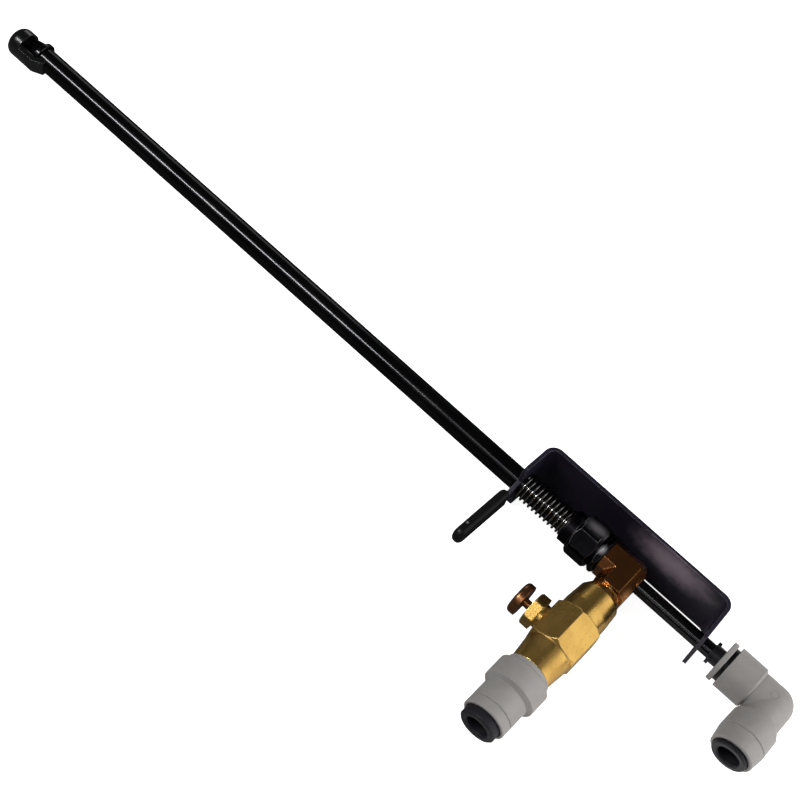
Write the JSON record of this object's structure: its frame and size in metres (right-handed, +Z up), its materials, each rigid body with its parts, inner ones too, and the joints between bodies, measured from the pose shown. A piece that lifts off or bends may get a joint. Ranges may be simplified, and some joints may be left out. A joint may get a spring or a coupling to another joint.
{
  "type": "beer bottle filler",
  "caption": "Hand-held bottle filling gun: long concentric steel tube with a side-slotted stopper tip, sprung pull trigger, push-button gas valve and two push-fit inlets.",
  "frame": {"origin": "on the filling tube's axis at the outer face of the trigger flange", "axes": "+X along the filling tube from its tip towards the inlets, -Y towards the trigger's strip, the gas valve and both inlet mouths, +Z upwards as the object lies in the picture"},
  "size_m": [0.4227, 0.1025, 0.03],
  "materials": {
    "tube_steel": "polished stainless tube",
    "sheet_steel": "bright rolled stainless sheet",
    "spring_steel": "drawn stainless wire",
    "fitting_steel": "turned and milled stainless",
    "brass": "machined brass",
    "dark_brass": "tarnished brass",
    "grey_plastic": "moulded acetal",
    "charcoal_plastic": "moulded acetal",
    "black_rubber": "smooth rubber"
  },
  "bodies": {
    "grip": {"gas_tube": "tube_steel", "nozzle_collar": "tube_steel", "stopper_tang": "tube_steel", "tip_stopper": "black_rubber", "main_spring": "spring_steel", "compression_nut": "fitting_steel", "back_ferrule": "fitting_steel", "front_ferrule": "fitting_steel", "fitting_body": "fitting_steel", "brass_elbow": "dark_brass", "gland_ring": "black_rubber", "gland_bush": "dark_brass", "neck_nipple": "brass", "valve_body": "brass", "valve_bonnet": "brass", "stem_ring": "black_rubber", "valve_spring": "spring_steel", "valve_plug": "brass", "gas_adaptor": "grey_plastic", "gas_cap": "grey_plastic", "gas_ring": "black_rubber"},
    "trigger": {"bracket": "sheet_steel", "trigger_sleeve": "black_rubber", "beer_tube": "tube_steel"},
    "gas_button": {"valve_button": "dark_brass", "valve_stem": "dark_brass", "poppet_seal": "black_rubber"},
    "gas_release": {"gas_collet": "charcoal_plastic", "gas_teeth": "spring_steel"},
    "swivel": {"elbow_body": "grey_plastic", "inlet_cap": "grey_plastic", "cap_band": "black_rubber", "inlet_ring": "black_rubber", "outlet_cap": "grey_plastic", "beer_ring": "black_rubber"},
    "inlet_release": {"inlet_collet": "charcoal_plastic"},
    "beer_release": {"beer_collet": "charcoal_plastic", "beer_teeth": "spring_steel"}
  },
  "joints": [
    {"name": "trigger_pull", "type": "slide", "parent": "grip", "child": "trigger", "axis": [1, 0, 0], "range_m": [0, 0.005], "stiffness_N_per_m": 1200, "springref_m": -0.004, "deforming": ["main_spring"]},
    {"name": "button_push", "type": "slide", "parent": "grip", "child": "gas_button", "axis": [1, 0, 0], "range_m": [0, 0.0028], "stiffness_N_per_m": 600, "springref_m": -0.003, "deforming": ["valve_spring"]},
    {"name": "gas_collet_push", "type": "slide", "parent": "grip", "child": "gas_release", "axis": [0, 1, 0], "range_m": [0, 0.0015], "stiffness_N_per_m": 300, "springref_m": -0.001},
    {"name": "elbow_swivel", "type": "hinge", "parent": "trigger", "child": "swivel", "pos_m": [0.11, 0, 0], "axis": [1, 0, 0], "continuous": true},
    {"name": "inlet_collet_push", "type": "slide", "parent": "swivel", "child": "inlet_release", "axis": [1, 0, 0], "range_m": [0, 0.0012], "stiffness_N_per_m": 300, "springref_m": -0.001},
    {"name": "beer_collet_push", "type": "slide", "parent": "swivel", "child": "beer_release", "axis": [0, 1, 0], "range_m": [0, 0.0015], "stiffness_N_per_m": 300, "springref_m": -0.001}
  ]
}
